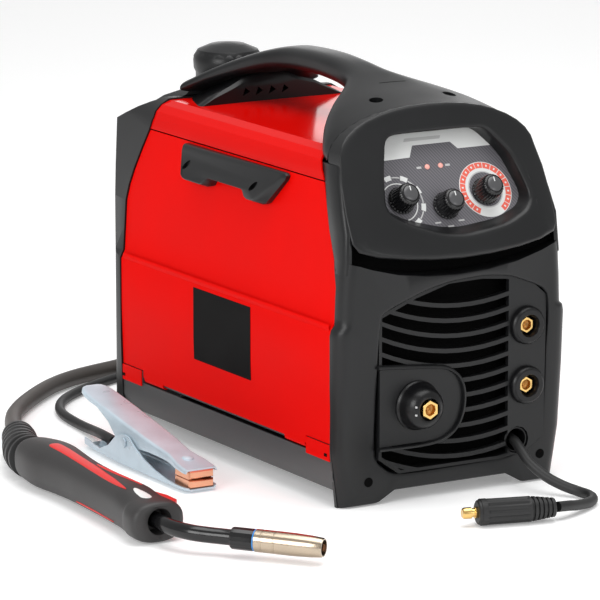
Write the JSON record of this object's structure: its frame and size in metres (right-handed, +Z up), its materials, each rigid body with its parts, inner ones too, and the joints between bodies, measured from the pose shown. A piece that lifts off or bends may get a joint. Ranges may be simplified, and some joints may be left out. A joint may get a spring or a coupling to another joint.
{
  "type": "portable MIG welding machine",
  "caption": "Portable inverter MIG welder with control hood, carry handle, folding side door, wire feeder, torch on a coiled hose and earth clamp on a coiled lead.",
  "frame": {"origin": "on the floor under the middle of the hard pieces (machine, torch and clamp, cords left out)", "axes": "+Z up, -Y out of the control panel side, +X to the right of someone facing that side"},
  "size_m": [0.6415, 0.8121, 0.3739],
  "materials": {
    "black_plastic": "fine-grained charcoal moulding",
    "dark_plastic": "satin black moulding",
    "red_paint": "glossy red powder coat",
    "grey_paint": "satin dark grey powder coat",
    "panel_print": "printed grey front plate",
    "brass": "machined brass",
    "copper": "machined copper",
    "zinc": "bright zinc plate",
    "nickel": "warm nickel plate",
    "aluminium": "extruded aluminium",
    "steel": "turned steel",
    "rubber": "black cable rubber",
    "hose_rubber": "brown-grey hose rubber",
    "red_plastic": "red moulding",
    "board": "circuit board",
    "winding": "varnished copper winding on laminated steel",
    "wire": "copper-coated welding wire on its spool"
  },
  "bodies": {
    "machine": {"front_shell": "black_plastic", "rear_shell": "black_plastic", "control_hood": "black_plastic", "top_handle": "black_plastic", "control_panel": "panel_print", "front_grille": "black_plastic", "socket_upper": "dark_plastic", "socket_upper_insert": "brass", "socket_lower": "dark_plastic", "socket_lower_insert": "brass", "torch_socket": "dark_plastic", "torch_socket_insert": "brass", "roof_cover": "red_paint", "hinge_pin": "steel", "base_tray": "grey_paint", "fan_frame": "dark_plastic", "mains_gland": "dark_plastic", "gas_inlet": "brass", "centre_partition": "grey_paint", "inverter_board": "board", "heatsink": "aluminium", "transformer": "winding", "spool_hub": "dark_plastic", "feeder_plate": "aluminium", "feed_motor": "steel", "torch_handle": "black_plastic", "torch_neck": "dark_plastic", "neck_insulator": "dark_plastic", "gas_nozzle": "nickel", "contact_tip": "copper", "torch_boot": "rubber", "clamp_lower_arm": "zinc", "clamp_pivot": "zinc", "clamp_spring": "steel", "clamp_jaw_lower": "copper", "torch_hose": "hose_rubber", "torch_hose_coil": "hose_rubber", "torch_connector": "dark_plastic", "earth_lead": "rubber", "earth_lead_coil": "rubber", "earth_plug": "rubber", "polarity_lead": "rubber", "polarity_plug": "rubber", "polarity_plug_pin": "brass"},
    "left_knob": {"knob_left": "dark_plastic"},
    "middle_knob": {"knob_middle": "dark_plastic"},
    "right_knob": {"knob_right": "dark_plastic"},
    "door": {"side_door": "red_paint", "door_grip": "black_plastic"},
    "fan": {"fan_rotor": "dark_plastic"},
    "rocker": {"mains_switch": "red_plastic"},
    "spool": {"wire_spool": "wire"},
    "drive_roll": {"drive_roll": "steel"},
    "pressure_arm": {"pressure_arm": "black_plastic"},
    "pressure_roll": {"pressure_roll": "steel"},
    "tension_lever": {"tension_lever": "red_plastic"},
    "trigger": {"torch_trigger": "red_plastic"},
    "clamp_jaw": {"clamp_upper_arm": "zinc", "clamp_jaw_upper": "copper"}
  },
  "joints": [
    {"name": "left_knob_turn", "type": "hinge", "parent": "machine", "child": "left_knob", "pos_m": [0.0615, -0.12562, 0.269], "axis": [0, -0.8572, 0.515], "range_deg": [-150, 150]},
    {"name": "middle_knob_turn", "type": "hinge", "parent": "machine", "child": "middle_knob", "pos_m": [0.1055, -0.13043, 0.261], "axis": [0, -0.8572, 0.515], "range_deg": [-150, 150]},
    {"name": "right_knob_turn", "type": "hinge", "parent": "machine", "child": "right_knob", "pos_m": [0.1495, -0.12562, 0.269], "axis": [0, -0.8572, 0.515], "range_deg": [-150, 150]},
    {"name": "door_fold", "type": "hinge", "parent": "machine", "child": "door", "pos_m": [-0.0089, 0.06375, 0.0495], "axis": [0, -1, 0], "range_deg": [0, 70]},
    {"name": "fan_spin", "type": "hinge", "parent": "machine", "child": "fan", "pos_m": [0.1295, 0.27275, 0.11], "axis": [0, 1, 0], "continuous": true},
    {"name": "switch_rock", "type": "hinge", "parent": "machine", "child": "rocker", "pos_m": [0.0435, 0.28575, 0.232], "axis": [1, 0, 0], "range_deg": [-12, 0]},
    {"name": "spool_spin", "type": "hinge", "parent": "machine", "child": "spool", "pos_m": [0.0615, 0.14375, 0.178], "axis": [1, 0, 0], "continuous": true},
    {"name": "drive_roll_spin", "type": "hinge", "parent": "machine", "child": "drive_roll", "pos_m": [0.0665, -0.05425, 0.0724], "axis": [1, 0, 0], "continuous": true},
    {"name": "tension_lever_swing", "type": "hinge", "parent": "machine", "child": "tension_lever", "pos_m": [0.0665, -0.02025, 0.066], "axis": [-1, 0, 0], "range_deg": [0, 45]},
    {"name": "pressure_arm_lift", "type": "hinge", "parent": "machine", "child": "pressure_arm", "pos_m": [0.0665, -0.09425, 0.108], "axis": [1, 0, 0], "range_deg": [0, 36]},
    {"name": "pressure_roll_spin", "type": "hinge", "parent": "pressure_arm", "child": "pressure_roll", "pos_m": [0.0665, -0.05425, 0.1016], "axis": [1, 0, 0], "continuous": true},
    {"name": "trigger_pull", "type": "hinge", "parent": "machine", "child": "trigger", "pos_m": [-0.1775, -0.10125, 0.022], "axis": [0, 0, -1], "range_deg": [0, 6], "stiffness_Nm_per_rad": 0.6, "springref_deg": -6.88},
    {"name": "clamp_open", "type": "hinge", "parent": "machine", "child": "clamp_jaw", "pos_m": [-0.0825, 0.08975, 0.025], "axis": [-1, 0, 0], "range_deg": [0, 18], "stiffness_Nm_per_rad": 1.2, "springref_deg": -28.65}
  ],
  "couplings": [
    {"joint": "pressure_arm_lift", "follows": "tension_lever_swing", "ratio": 0.8},
    {"joint": "pressure_roll_spin", "follows": "drive_roll_spin", "ratio": -1.1538}
  ]
}
